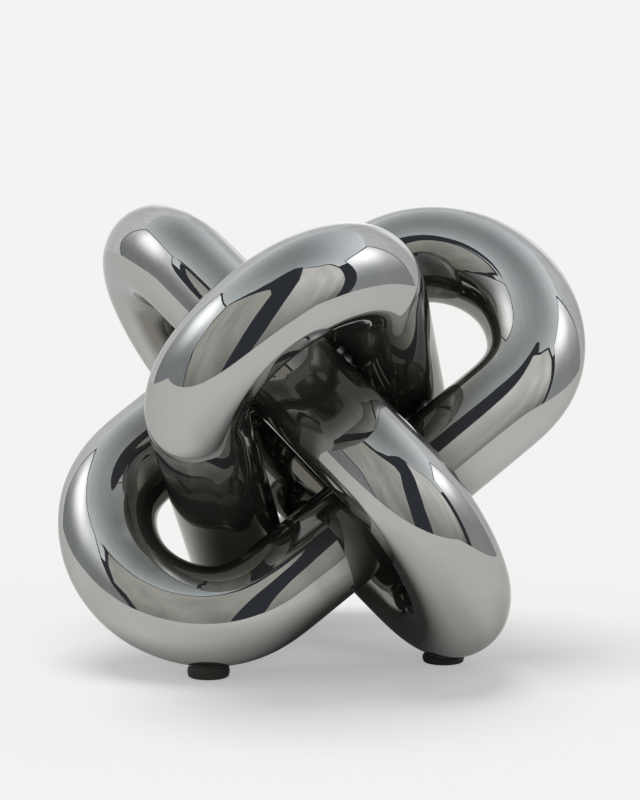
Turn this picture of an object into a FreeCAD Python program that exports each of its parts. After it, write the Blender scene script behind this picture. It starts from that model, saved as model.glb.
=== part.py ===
import FreeCAD, Part
import math
import os
import Sketcher

# Knot sculpture: three equal closed links of thick round bar, each passed
# through the next, standing on three round pads. Lengths are in
# millimetres and angles in degrees. +Z is up, the front is at -Y, and the
# origin is on the table under the middle of the box round the sculpture.

# Driving sizes
DRIVING_SIZES = [
    ("bar_radius", 15.0, "radius of the round bar that every link is made of"),
    ("tack_gap", 0.45, "gap between two limbs where a tack joins them"),
    ("bend_window", 12.6, "clear opening between a bend and the limbs that pass through its link"),
    ("shoulder_inset", 7.9, "distance of a shoulder's centre from the link's long axis"),
    ("crown_angle", 40.3, "half of the angle that the flatter crown of a bend turns"),
    ("front_link_forward", 9.4, "how far the front link stands forward of the left one"),
    ("left_heading_lean", 2.44, "left link, turn away from the even arrangement"),
    ("left_climb_lean", -0.66, "left link, extra climb of its long axis"),
    ("left_roll_lean", -4.6, "left link, extra roll about its long axis"),
    ("right_heading_lean", -1.62, "right link, turn away from the even arrangement"),
    ("right_climb_lean", -1.34, "right link, extra climb of its long axis"),
    ("right_roll_lean", 4.29, "right link, extra roll about its long axis"),
    ("front_heading_lean", 1.21, "front link, turn away from the even arrangement"),
    ("front_climb_lean", 1.6, "front link, extra climb of its long axis"),
    ("front_roll_lean", -3.14, "front link, extra roll about its long axis"),
    ("dowel_radius", 5.0, "radius of the steel dowel inside each limb joint"),
    ("dowel_length", 32.0, "length of a dowel"),
    ("dowel_chamfer", 0.8, "bevel on a dowel's two ends"),
    ("dowel_play", 0.1, "radial clearance of a dowel in its holes"),
    ("dowel_end_gap", 0.5, "space left at the bottom of a dowel hole"),
    ("weld_depth", 1.6, "depth of the filled groove round each limb joint"),
    ("tack_radius", 3.2, "radius of the tack between two links"),
    ("tack_root", 1.4, "how far a tack's blank reaches into each limb before it is trimmed"),
    ("pad_radius", 6.35, "radius of a foot pad"),
    ("left_pad_height", 2.7, "height of the left pad under the lowest point of its bend"),
    ("right_pad_height", 1.6, "height of the right pad, which its bend has settled into"),
    ("rear_pad_height", 2.7, "height of the rear pad under the lowest point of its bend"),
    ("pad_edge", 0.7, "rounding of a pad's lower edge"),
    ("glue_thickness", 0.25, "thickness of the glue between a pad and its bend"),
]

FULL_TURN = 360.0
HALF_TURN = 180.0
UP = FreeCAD.Vector(0, 0, 1)

# Two sizes that differ by less than this share are the same.
MATCH_SHARE = 1e-6

# In the even arrangement the three long axes stand square to each other,
# a third of a turn apart in plan, and each link rolls half of a right angle.
LINK_NAMES = ("left", "right", "front")
FIRST_HEADING = 30.0
PLAN_STEP = FULL_TURN / len(LINK_NAMES)
EVEN_CLIMB = math.degrees(math.atan(math.sqrt(0.5)))
EVEN_ROLL = 45.0

# Limbs are named by their place in the link: the top one is at +short axis.
LIMB_SIDES = {"top": 1, "under": -1}

# Each link's foot, by where it stands on the table
FOOT_PLACES = {"left": "left", "right": "right", "front": "rear"}

# Where two limbs almost touch, a tack joins them: link and limb, twice.
TACKS = {
    "back_tack": (("left", "top"), ("right", "under")),
    "crown_tack": (("right", "top"), ("front", "top")),
    "right_tack": (("front", "top"), ("left", "under")),
    "left_tack": (("front", "under"), ("left", "top")),
}

doc = FreeCAD.newDocument("knot_sculpture")
sheet = doc.addObject("Spreadsheet::Sheet", "Sizes")


def add_cell(row, alias, value, note):
    sheet.set(f"A{row}", alias)
    sheet.set(f"B{row}", str(value))
    sheet.set(f"C{row}", note)
    sheet.setAlias(f"B{row}", alias)


for index, (alias, value, note) in enumerate(DRIVING_SIZES):
    add_cell(index + 1, alias, value, note)
doc.recompute()


def size(alias):
    return float(sheet.get(alias))


# Directions of the three links
def link_rotation(name):
    heading = FIRST_HEADING + PLAN_STEP * LINK_NAMES.index(name) + size(f"{name}_heading_lean")
    climb = EVEN_CLIMB + size(f"{name}_climb_lean")
    roll = EVEN_ROLL + size(f"{name}_roll_lean")
    return FreeCAD.Rotation(heading, -climb, roll)


rotation = {name: link_rotation(name) for name in LINK_NAMES}
long_axis = {name: rotation[name].multVec(FreeCAD.Vector(1, 0, 0)) for name in LINK_NAMES}
short_axis = {name: rotation[name].multVec(FreeCAD.Vector(0, 1, 0)) for name in LINK_NAMES}


def common_normal(inner, outer):
    """Unit vector square to both links' limbs, on the side of the outer link's top limb."""
    normal = long_axis[inner].cross(long_axis[outer])
    normal.normalize()
    return normal if normal.dot(short_axis[outer]) > 0 else -normal


# Size of a link. The left and front links touch on both sides, so their
# lean and the bar's thickness settle how far apart a link's limbs are.
bar = size("bar_radius")
touch_distance = 2 * bar + size("tack_gap")
front_left_normal = common_normal("front", "left")
limb_spread = (short_axis["left"] + short_axis["front"]).dot(front_left_normal)
limb_offset = touch_distance / limb_spread
inset = size("shoulder_inset")
crown_turn = math.radians(size("crown_angle"))
shoulder_radius = limb_offset - inset
crown_radius = shoulder_radius + inset / math.sin(crown_turn)
bend_depth = shoulder_radius + inset * math.tan(crown_turn / 2)
link_length = 2 * (limb_offset + 3 * bar + size("bend_window"))
limb_length = link_length / 2 - bar - bend_depth
crown_centre = limb_length + bend_depth - crown_radius


# Reach of a link's centre line along a direction
def reach_point(name, direction):
    """Point of the centre line furthest along a direction, from the link's centre."""
    along = long_axis[name].dot(direction)
    across = short_axis[name].dot(direction)
    slope = math.hypot(along, across)
    if math.atan2(abs(across), abs(along)) <= crown_turn:
        base = (crown_centre, 0)
        radius = crown_radius
    else:
        base = (limb_length, inset)
        radius = shoulder_radius
    on_long = math.copysign(base[0], along) + radius * along / slope
    on_short = math.copysign(base[1], across) + radius * across / slope
    return long_axis[name] * on_long + short_axis[name] * on_short


def reach(name, direction):
    return reach_point(name, direction).dot(direction)


# Places of the three links. Each height follows from the table and the
# pad. The plan places follow from the limbs that touch.
def centre_height(name):
    floor_to_bend = size(f"{FOOT_PLACES[name]}_pad_height") + size("glue_thickness")
    return floor_to_bend + bar + reach(name, UP)


height = {name: centre_height(name) for name in LINK_NAMES}

left_centre = FreeCAD.Vector(0, 0, height["left"])

# The left link's two limbs stand equally far from the front link's limbs.
front_rise = height["front"] - height["left"]
front_y = -size("front_link_forward")
front_x = -(front_left_normal.y * front_y + front_left_normal.z * front_rise) / front_left_normal.x
front_centre = FreeCAD.Vector(front_x, front_y, height["front"])

# The right link touches the left link's top limb with its under limb, and
# the front link's top limb with its own top limb: two equations for x and y.
back_normal = common_normal("left", "right")
crown_normal = common_normal("right", "front")
back_anchor = left_centre + (short_axis["left"] + short_axis["right"]) * limb_offset
crown_anchor = front_centre + (short_axis["front"] - short_axis["right"]) * limb_offset
back_value = back_anchor.dot(back_normal) - touch_distance - height["right"] * back_normal.z
crown_value = crown_anchor.dot(crown_normal) - touch_distance - height["right"] * crown_normal.z
determinant = back_normal.x * crown_normal.y - back_normal.y * crown_normal.x
right_x = (back_value * crown_normal.y - crown_value * back_normal.y) / determinant
right_y = (back_normal.x * crown_value - crown_normal.x * back_value) / determinant
right_centre = FreeCAD.Vector(right_x, right_y, height["right"])

centre = {"left": left_centre, "right": right_centre, "front": front_centre}


def plan_middle(direction):
    """Middle of the box round the three links, along one plan direction."""
    lowest = min(centre[name].dot(direction) - reach(name, direction) for name in LINK_NAMES)
    highest = max(centre[name].dot(direction) + reach(name, direction) for name in LINK_NAMES)
    return (lowest + highest) / 2


middle = FreeCAD.Vector(plan_middle(FreeCAD.Vector(1, 0, 0)), plan_middle(FreeCAD.Vector(0, 1, 0)), 0)
centre = {name: centre[name] - middle for name in LINK_NAMES}
foot_point = {name: centre[name] - reach_point(name, UP) for name in LINK_NAMES}

# Derived sizes, kept in the sheet beside the driving ones
DERIVED_SIZES = [
    ("limb_offset", limb_offset, "half of the distance between a link's limbs, centre to centre"),
    ("limb_length", limb_length, "length of the straight limb from the joint to the bend"),
    ("shoulder_radius", shoulder_radius, "centre line radius of a bend's two shoulders"),
    ("crown_radius", crown_radius, "centre line radius of a bend's crown"),
    ("link_length", link_length, "length of a link over its two bends"),
]
for index, (alias, value, note) in enumerate(DERIVED_SIZES):
    add_cell(len(DRIVING_SIZES) + index + 1, alias, value, note)
doc.recompute()


# Helpers for sketches
def origin_plane(body, role):
    return next(plane for plane in body.Origin.OriginFeatures if plane.Role == role)


def new_sketch(body, name, role):
    sketch = body.newObject("Sketcher::SketchObject", name)
    sketch.AttachmentSupport = [(origin_plane(body, role), "")]
    sketch.MapMode = "FlatFace"
    return sketch


def dimension(sketch, kind, *targets, value, formula):
    """Adds a dimension that follows a formula of the sheet's cells."""
    index = sketch.addConstraint(Sketcher.Constraint(kind, *targets, value))
    sketch.setExpression(f"Constraints[{index}]", formula)


# Sketcher's numbers for the start, end and centre of a curve and for the axes
START, END, CENTRE = range(1, 4)
H_AXIS, V_AXIS = range(-1, -3, -1)
ORIGIN = (H_AXIS, START)


def arc(centre_x, centre_y, radius, first, last):
    circle = Part.Circle(FreeCAD.Vector(centre_x, centre_y, 0), UP, radius)
    return Part.ArcOfCircle(circle, first, last)


def limb_path(body, name):
    """Centre line of half a link: limb, shoulder, crown, shoulder, limb."""
    sketch = new_sketch(body, name, "XY_Plane")
    right_angle = math.pi / 2
    upper_limb = sketch.addGeometry(Part.LineSegment(
        FreeCAD.Vector(0, limb_offset, 0), FreeCAD.Vector(limb_length, limb_offset, 0)))
    upper_shoulder = sketch.addGeometry(
        arc(limb_length, inset, shoulder_radius, crown_turn, right_angle))
    crown = sketch.addGeometry(arc(crown_centre, 0, crown_radius, -crown_turn, crown_turn))
    lower_shoulder = sketch.addGeometry(
        arc(limb_length, -inset, shoulder_radius, -right_angle, -crown_turn))
    lower_limb = sketch.addGeometry(Part.LineSegment(
        FreeCAD.Vector(limb_length, -limb_offset, 0), FreeCAD.Vector(0, -limb_offset, 0)))
    joins = [
        (upper_limb, END, upper_shoulder, END),
        (upper_shoulder, START, crown, END),
        (crown, START, lower_shoulder, END),
        (lower_shoulder, START, lower_limb, START),
    ]
    for join in joins:
        sketch.addConstraint(Sketcher.Constraint("Tangent", *join))
    sketch.addConstraint(Sketcher.Constraint("Horizontal", upper_limb))
    sketch.addConstraint(Sketcher.Constraint("PointOnObject", upper_limb, START, V_AXIS))
    sketch.addConstraint(Sketcher.Constraint("PointOnObject", lower_limb, END, V_AXIS))
    sketch.addConstraint(Sketcher.Constraint("PointOnObject", crown, CENTRE, H_AXIS))
    sketch.addConstraint(Sketcher.Constraint("Equal", upper_shoulder, lower_shoulder))
    sketch.addConstraint(Sketcher.Constraint("Horizontal", lower_limb))
    dimension(sketch, "DistanceY", *ORIGIN, upper_limb, START,
              value=limb_offset, formula="Sizes.limb_offset")
    dimension(sketch, "DistanceX", upper_limb, START, upper_limb, END,
              value=limb_length, formula="Sizes.limb_length")
    dimension(sketch, "Radius", upper_shoulder,
              value=shoulder_radius, formula="Sizes.shoulder_radius")
    dimension(sketch, "Radius", crown, value=crown_radius, formula="Sizes.crown_radius")
    return sketch


def add_circle(sketch, offset, offset_formula, radius, radius_formula):
    """Circle on the sketch's horizontal axis, to the right if the offset is positive."""
    circle = sketch.addGeometry(Part.Circle(FreeCAD.Vector(offset, 0, 0), UP, radius))
    sketch.addConstraint(Sketcher.Constraint("PointOnObject", circle, CENTRE, H_AXIS))
    ends = (*ORIGIN, circle, CENTRE) if offset > 0 else (circle, CENTRE, *ORIGIN)
    dimension(sketch, "DistanceX", *ends, value=abs(offset), formula=offset_formula)
    dimension(sketch, "Radius", circle, value=radius, formula=radius_formula)


def half_placement(name, lower):
    """Place of a half link: the lower half is the same piece turned round in its own plane."""
    turn = FreeCAD.Rotation(UP, HALF_TURN if lower else 0)
    return FreeCAD.Placement(centre[name], rotation[name].multiply(turn))


def limb_point(name, side):
    return centre[name] + short_axis[name] * (limb_offset * LIMB_SIDES[side])


def limb_placement(name, side, shift):
    """Place of a round piece whose own Z runs along a limb, its start shifted along it."""
    along = FreeCAD.Rotation(UP, long_axis[name])
    return FreeCAD.Placement(limb_point(name, side) + long_axis[name] * shift, along)


# Half links
def bend_body(name, radius, radius_formula):
    """Round bar bent to half a link, from joint face to joint face."""
    body = doc.addObject("PartDesign::Body", name)
    path = limb_path(body, f"{name}_path")
    section = new_sketch(body, f"{name}_section", "YZ_Plane")
    add_circle(section, limb_offset, "Sizes.limb_offset", radius, radius_formula)
    doc.recompute()
    bar_feature = body.newObject("PartDesign::AdditivePipe", f"{name}_bar")
    bar_feature.Profile = section
    bar_feature.Spine = (path, [f"Edge{number + 1}" for number in range(path.GeometryCount)])
    doc.recompute()
    return body


def joint_edges(shape):
    """Names of the round outer edges of the two joint faces, which lie at x = 0."""
    names = []
    for number, edge in enumerate(shape.Edges):
        curve = edge.Curve
        is_rim = isinstance(curve, Part.Circle) and math.isclose(curve.Radius, bar, rel_tol=MATCH_SHARE)
        if is_rim and abs(edge.BoundBox.XMax) < bar * MATCH_SHARE:
            names.append(f"Edge{number + 1}")
    return names


def casting(name, link, lower):
    """Half link with a dowel hole and a weld bevel at the end of each limb."""
    hole_radius = size("dowel_radius") + size("dowel_play")
    body = bend_body(name, bar, "Sizes.bar_radius")
    solid_volume = body.Shape.Volume

    holes = new_sketch(body, f"{name}_hole_rings", "YZ_Plane")
    for side in LIMB_SIDES.values():
        add_circle(holes, limb_offset * side, "Sizes.limb_offset",
                   hole_radius, "Sizes.dowel_radius + Sizes.dowel_play")
    drilling = body.newObject("PartDesign::Pocket", f"{name}_holes")
    drilling.Profile = holes
    drilling.Reversed = True
    drilling.setExpression("Length", "Sizes.dowel_length / 2 + Sizes.dowel_end_gap")
    doc.recompute()
    if not body.Shape.Volume < solid_volume:
        raise RuntimeError(f"the dowel holes of {name} cut nothing")

    bevel = body.newObject("PartDesign::Chamfer", f"{name}_bevel")
    bevel.Base = (drilling, joint_edges(drilling.Shape))
    bevel.setExpression("Size", "Sizes.weld_depth")
    body.Placement = half_placement(link, lower)
    doc.recompute()
    return body


# Dowels and welds inside and round each limb joint
def dowel(name, link, side):
    length = size("dowel_length")
    pin = doc.addObject("Part::Cylinder", f"{name}_pin")
    pin.setExpression("Radius", "Sizes.dowel_radius")
    pin.setExpression("Height", "Sizes.dowel_length")
    doc.recompute()
    rims = [number + 1 for number, edge in enumerate(pin.Shape.Edges)
            if isinstance(edge.Curve, Part.Circle)]
    bevelled = doc.addObject("Part::Chamfer", name)
    bevelled.Base = pin
    bevelled.Edges = [(rim, size("dowel_chamfer"), size("dowel_chamfer")) for rim in rims]
    bevelled.Placement = limb_placement(link, side, -length / 2)
    return bevelled


def weld(name, link, side):
    """Filler ring in the groove of a joint, polished flush with the bar."""
    depth = size("weld_depth")
    body = doc.addObject("PartDesign::Body", name)
    sketch = new_sketch(body, f"{name}_section", "XZ_Plane")
    corners = [
        FreeCAD.Vector(bar, -depth, 0),
        FreeCAD.Vector(bar, depth, 0),
        FreeCAD.Vector(bar - depth, 0, 0),
    ]
    lines = [sketch.addGeometry(Part.LineSegment(corners[number - 1], corners[number]))
             for number in range(len(corners))]
    for number, line in enumerate(lines):
        sketch.addConstraint(Sketcher.Constraint("Coincident", lines[number - 1], END, line, START))
    root_line, face_line, _ = lines
    sketch.addConstraint(Sketcher.Constraint("PointOnObject", root_line, START, H_AXIS))
    sketch.addConstraint(Sketcher.Constraint("Symmetric", face_line, START, face_line, END, H_AXIS))
    dimension(sketch, "DistanceX", *ORIGIN, face_line, START,
              value=bar, formula="Sizes.bar_radius")
    dimension(sketch, "DistanceX", *ORIGIN, root_line, START,
              value=bar - depth, formula="Sizes.bar_radius - Sizes.weld_depth")
    dimension(sketch, "DistanceY", face_line, START, face_line, END,
              value=2 * depth, formula="2 * Sizes.weld_depth")
    ring = body.newObject("PartDesign::Revolution", f"{name}_ring")
    ring.Profile = sketch
    ring.ReferenceAxis = (sketch, ["V_Axis"])
    ring.Angle = FULL_TURN
    body.Placement = limb_placement(link, side, 0)
    doc.recompute()
    return body


# Tacks between the links
def nearest_points(first, second):
    """Where two limbs' centre lines come nearest to each other, on each of them."""
    start_one, start_two = limb_point(*first), limb_point(*second)
    along_one, along_two = long_axis[first[0]], long_axis[second[0]]
    between = start_one - start_two
    slant = along_one.dot(along_two)
    on_one, on_two = along_one.dot(between), along_two.dot(between)
    scale = 1 - slant * slant
    step_one = (slant * on_two - on_one) / scale
    step_two = (on_two - slant * on_one) / scale
    return start_one + along_one * step_one, start_two + along_two * step_two


def limb_blank(name, link, side):
    """Straight round bar in the place of one limb, to trim a tack with."""
    blank = doc.addObject("Part::Cylinder", name)
    blank.setExpression("Radius", "Sizes.bar_radius")
    blank.setExpression("Height", "2 * Sizes.limb_length")
    blank.Placement = limb_placement(link, side, -limb_length)
    return blank


def tack(name, first, second):
    """Saddle-shaped drop of filler that fills the gap between two limbs."""
    point_one, point_two = nearest_points(first, second)
    across = point_two - point_one
    gap = across.Length - 2 * bar
    across.normalize()
    blank_length = gap + 2 * size("tack_root")
    rod = doc.addObject("Part::Cylinder", f"{name}_rod")
    rod.setExpression("Radius", "Sizes.tack_radius")
    rod.Height = blank_length
    start = (point_one + point_two) / 2 - across * (blank_length / 2)
    rod.Placement = FreeCAD.Placement(start, FreeCAD.Rotation(UP, across))
    limbs = doc.addObject("Part::MultiFuse", f"{name}_limbs")
    limbs.Shapes = [limb_blank(f"{name}_limb_{number}", *limb)
                    for number, limb in enumerate((first, second))]
    drop = doc.addObject("Part::Cut", name)
    drop.Base = rod
    drop.Tool = limbs
    return drop


# Foot pads
def pad_blank(name, link):
    """Round pad blank, tall enough to meet the bend all round."""
    place = FOOT_PLACES[link]
    blank = doc.addObject("Part::Cylinder", name)
    blank.setExpression("Radius", "Sizes.pad_radius")
    blank.setExpression("Height", f"Sizes.{place}_pad_height + Sizes.bar_radius / 2")
    blank.Placement = FreeCAD.Placement(
        FreeCAD.Vector(foot_point[link].x, foot_point[link].y, 0), FreeCAD.Rotation())
    return blank


def foot(link):
    """A pad shaped to its bend, and the thin film of glue between the two."""
    place = FOOT_PLACES[link]
    bend = bend_body(f"{place}_foot_bend", bar, "Sizes.bar_radius")
    film_bend = bend_body(f"{place}_film_bend", bar + size("glue_thickness"),
                          "Sizes.bar_radius + Sizes.glue_thickness")
    for body in (bend, film_bend):
        body.Placement = half_placement(link, True)

    blank = pad_blank(f"{place}_pad_blank", link)
    doc.recompute()
    lower_rim = next(number + 1 for number, edge in enumerate(blank.Shape.Edges)
                     if isinstance(edge.Curve, Part.Circle) and edge.BoundBox.ZMax < size("pad_edge"))
    rounded = doc.addObject("Part::Fillet", f"{place}_pad_rounded")
    rounded.Base = blank
    rounded.Edges = [(lower_rim, size("pad_edge"), size("pad_edge"))]
    pad = doc.addObject("Part::Cut", f"{place}_foot_pad")
    pad.Base = rounded
    pad.Tool = film_bend

    film = doc.addObject("Part::Cut", f"{place}_film")
    film.Base = film_bend
    film.Tool = bend
    glue = doc.addObject("Part::Common", f"{place}_foot_glue")
    glue.Base = pad_blank(f"{place}_glue_blank", link)
    glue.Tool = film
    return [pad, glue]


# The pieces
pieces = []
for link in LINK_NAMES:
    pieces.append(casting(f"{link}_link_upper_half", link, lower=False))
    pieces.append(casting(f"{link}_link_lower_half", link, lower=True))
    for side in LIMB_SIDES:
        pieces.append(dowel(f"{link}_link_{side}_dowel", link, side))
        pieces.append(weld(f"{link}_link_{side}_weld", link, side))
for name, (first, second) in TACKS.items():
    pieces.append(tack(name, first, second))
for link in LINK_NAMES:
    pieces.extend(foot(link))
doc.recompute()

# Check every object, then write each piece to its own file
for item in doc.Objects:
    if {"Invalid", "Error"} & set(item.State):
        raise RuntimeError(f"{item.Name} failed: {item.State}")

os.makedirs("parts", exist_ok=True)
for piece in pieces:
    shape = piece.Shape
    if shape.isNull() or not shape.isValid() or not shape.Solids:
        raise RuntimeError(f"{piece.Name} has no valid solid")
    piece.Label = piece.Name
    shape.exportStep(f"parts/{piece.Label}.step")
    print(f"{piece.Label}: {len(shape.Solids)} solid, {shape.Volume:.1f} mm3")

print(f"link {link_length:.2f} long, limbs {2 * limb_offset:.2f} apart, bend {bend_depth:.2f} deep")
for name in LINK_NAMES:
    print(name, "centre", [round(value, 2) for value in centre[name]],
          "foot", [round(value, 2) for value in foot_point[name]])
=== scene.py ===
# %% [markdown]
# # A knot of three mirror-polished links
# The object is a table sculpture: three equal closed links of thick round
# bar pass through one another and stand on three small dark pads. Its metal
# is a dark nickel mirror, so nearly all that the eye reads as its colour is
# a reflection of the room. The lesson builds the links as exact swept
# meshes, gives them a hand polish, and puts a photographer's light tent
# round them for the mirror to show. The frame that is loaded first is the
# engineering model, and every piece takes its place and main sizes from it.

# %% Load the frame
import math
from types import SimpleNamespace

import bpy
import numpy as np
from mathutils import Matrix, Vector, noise
from mathutils.bvhtree import BVHTree


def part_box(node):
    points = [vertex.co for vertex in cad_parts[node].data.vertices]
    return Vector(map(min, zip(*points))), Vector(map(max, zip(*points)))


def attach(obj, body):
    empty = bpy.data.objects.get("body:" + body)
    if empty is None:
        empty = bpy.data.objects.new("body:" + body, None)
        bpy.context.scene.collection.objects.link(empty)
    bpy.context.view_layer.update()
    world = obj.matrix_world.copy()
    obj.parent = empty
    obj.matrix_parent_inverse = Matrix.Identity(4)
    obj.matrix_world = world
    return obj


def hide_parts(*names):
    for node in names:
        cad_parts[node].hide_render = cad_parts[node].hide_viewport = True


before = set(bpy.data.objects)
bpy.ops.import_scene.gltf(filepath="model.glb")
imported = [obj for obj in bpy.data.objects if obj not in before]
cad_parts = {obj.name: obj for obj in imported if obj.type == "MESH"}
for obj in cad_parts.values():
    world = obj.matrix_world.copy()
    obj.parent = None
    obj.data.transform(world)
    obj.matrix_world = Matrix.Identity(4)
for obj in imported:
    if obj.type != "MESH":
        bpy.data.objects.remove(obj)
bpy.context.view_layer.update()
MM = 0.001

# %% [markdown]
# ## The camera
# The photograph was taken with a long lens from a little above the
# sculpture. A long lens far away keeps the links' proportions, where a
# short one close by would swell the front bend. The place and the angles
# were found by matching the outlines of all three links at once.

# %% Camera
CAMERA_PLACE = Vector((188.7, -1117.1, 251.2)) * MM
VIEW_HEADING = math.radians(9.55)
VIEW_DIP = math.radians(8.63)
SENSOR_HEIGHT_MM = 24.0
LENS_MM = 114.2
RIGHT_ANGLE = math.pi / 2

camera_data = bpy.data.cameras.new("view")
camera_data.sensor_fit = "VERTICAL"
camera_data.sensor_height = SENSOR_HEIGHT_MM
camera_data.lens = LENS_MM
camera = bpy.data.objects.new("view", camera_data)
bpy.context.scene.collection.objects.link(camera)
camera.matrix_world = (
    Matrix.Translation(CAMERA_PLACE)
    @ Matrix.Rotation(VIEW_HEADING, 4, "Z")
    @ Matrix.Rotation(RIGHT_ANGLE - VIEW_DIP, 4, "X")
)
bpy.context.scene.camera = camera
bpy.context.scene.view_settings.view_transform = "Standard"
print("camera", round(CAMERA_PLACE.length, 3), "m from the origin")

# %% [markdown]
# ## Reading the links from the frame
# A link is fully known from a few facts: its middle, the directions of its
# long and short axes, the bar's radius, half the distance between its limbs
# and half its length. All of them can be read from the frame's own meshes,
# which is safer than typing them again, because the links then follow the
# frame if it is ever repacked.

# %% Measure the links
LINK_NAMES = ("left", "right", "front")
END_SHARE = 0.9


def node_points(name):
    """All vertices of a frame node, as rows."""
    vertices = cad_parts[name].data.vertices
    flat = np.empty(3 * len(vertices))
    vertices.foreach_get("co", flat)
    return flat.reshape(-1, 3)


def unit(vector):
    return vector / np.linalg.norm(vector)


def box_middle(points):
    return (points.min(axis=0) + points.max(axis=0)) / 2


def rod_direction(points):
    """Direction of a straight round rod, from the middles of its two end faces."""
    shifted = points - points.mean(axis=0)
    rough = np.linalg.svd(shifted, full_matrices=False)[2][0]
    place = shifted @ rough
    far_end = shifted[place > END_SHARE * place.max()].mean(axis=0)
    near_end = shifted[place < END_SHARE * place.min()].mean(axis=0)
    return unit(far_end - near_end)


def measured_link(name):
    upper = node_points(f"{name}_link_upper_half")
    lower = node_points(f"{name}_link_lower_half")
    top = box_middle(node_points(f"{name}_link_top_weld"))
    under = box_middle(node_points(f"{name}_link_under_weld"))
    centre = box_middle(np.vstack((upper, lower)))
    across = unit(top - under)
    along = rod_direction(node_points(f"{name}_link_top_dowel"))
    along = along * np.sign((upper.mean(axis=0) - centre) @ along)
    facing = unit(np.cross(along, across))
    return SimpleNamespace(
        name=name, centre=centre, along=along, across=across, facing=facing,
        bar=np.abs((upper - centre) @ facing).max(),
        limb_offset=np.linalg.norm(top - under) / 2,
        half_length=((upper - centre) @ along).max(),
    )


links = {name: measured_link(name) for name in LINK_NAMES}
for link in links.values():
    print(link.name, "bar", round(link.bar / MM, 3), "limbs", round(link.limb_offset / MM, 3),
          "half length", round(link.half_length / MM, 3))

# %% [markdown]
# ## The centre line of a link
# Each end of a link turns in three arcs: a tight shoulder, a flatter crown
# and a shoulder again. Arcs that simply join have a jump in curvature, and a
# mirror shows such a jump as a kink in every reflected line. On the real
# piece the polisher's belt has evened it out. Here the closed line is
# sampled in equal steps and each point is averaged with its neighbours many
# times over, which does the same within a third of a millimetre.

# %% Centre line
SHOULDER_INSET = 7.9 * MM
CROWN_TURN = math.radians(40.3)
LINE_STEP = 0.5 * MM
BELT_REACH = 4.0 * MM


def around(count):
    """Equally spaced angles, once round a circle."""
    return np.arange(count) / count * 2 * math.pi


def round_points(angles):
    """Points of the unit circle."""
    return np.column_stack((np.cos(angles), np.sin(angles)))


def arc_points(middle, radius, first, last):
    steps = round(radius * abs(last - first) / LINE_STEP)
    return middle + radius * round_points(np.linspace(first, last, steps, endpoint=False))


def half_outline(link):
    """Half of a link's centre line in its own plane, from its top to its under joint."""
    offset = link.limb_offset
    shoulder = offset - SHOULDER_INSET
    crown = shoulder + SHOULDER_INSET / math.sin(CROWN_TURN)
    depth = shoulder + SHOULDER_INSET * math.tan(CROWN_TURN / 2)
    limb = link.half_length - link.bar - depth
    steps = round(limb / LINE_STEP)
    out = np.linspace(0, limb, steps, endpoint=False)
    return np.vstack((
        np.column_stack((out, np.full(steps, offset))),
        arc_points((limb, SHOULDER_INSET), shoulder, RIGHT_ANGLE, CROWN_TURN),
        arc_points((limb + depth - crown, 0), crown, CROWN_TURN, -CROWN_TURN),
        arc_points((limb, -SHOULDER_INSET), shoulder, -CROWN_TURN, -RIGHT_ANGLE),
        np.column_stack((limb - out, np.full(steps, -offset))),
    ))


def along_closed_line(line, places):
    """Points of a closed line at the given lengths along it, and the line's whole length."""
    loop = np.vstack((line, line[:1]))
    spans = np.linalg.norm(np.diff(loop, axis=0), axis=1)
    travelled = np.concatenate(([0], np.cumsum(spans)))
    columns = [np.interp(places * travelled[-1], travelled, loop[:, axis]) for axis in (0, 1)]
    return np.column_stack(columns), travelled[-1]


def smooth_centre_line(link):
    """Closed centre line with equal steps and without jumps in curvature.

    A round of averaging reaches half a squared step further, which gives the number of rounds.
    """
    half = half_outline(link)
    line = np.vstack((half, -half))
    steps = 2 * round(2 * link.half_length / LINE_STEP)
    line, length = along_closed_line(line, np.arange(steps) / steps)
    rounds = round(2 * (BELT_REACH * steps / length) ** 2)
    for _ in range(rounds):
        line = (np.roll(line, 1, axis=0) + 2 * line + np.roll(line, -1, axis=0)) / 4
    return line


for link in links.values():
    link.line = smooth_centre_line(link)
    link.length = along_closed_line(link.line, np.zeros(1))[1]
    print(link.name, "centre line", round(link.length / MM, 1), "mm,", len(link.line), "points")

# %% [markdown]
# ## The polished skin of a link
# The bar is a circle swept along the centre line. Instead of a curve with a
# bevel, the rings are placed in code: the welds then fall exactly on the
# joints, the two halves and the welds share one continuous set of normals,
# and no seam shows in the mirror. Hand polishing leaves the bar very
# slightly wavy, by less than a tenth of a millimetre. That is far too
# little to see in the outline, but it makes long straight reflections
# wander, so the waves are real geometry here.

# %% Skin of a link
SIDES = 96
RING_STEP = 1.0 * MM
WELD_DEPTH = 1.6 * MM
WELD_RINGS = 4
LONG_WAVE = 26 * MM
LONG_WAVE_HEIGHT = 0.085 * MM
SHORT_WAVE = 9 * MM
SHORT_WAVE_HEIGHT = 0.024 * MM
WAVE_SEEDS = {"left": Vector((3.7, 0.4, 9.1)), "right": Vector((8.2, 5.9, 1.6)),
              "front": Vector((0.9, 7.3, 4.8))}


def hand_waves(points, seed):
    """How far polishing has left each point of the skin proud of the true bar."""
    waves = []
    for point in points:
        place = Vector(point)
        long_wave = noise.noise(place / LONG_WAVE + seed)
        short_wave = noise.noise(place / SHORT_WAVE - seed)
        waves.append(LONG_WAVE_HEIGHT * long_wave + SHORT_WAVE_HEIGHT * short_wave)
    return np.array(waves)


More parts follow.
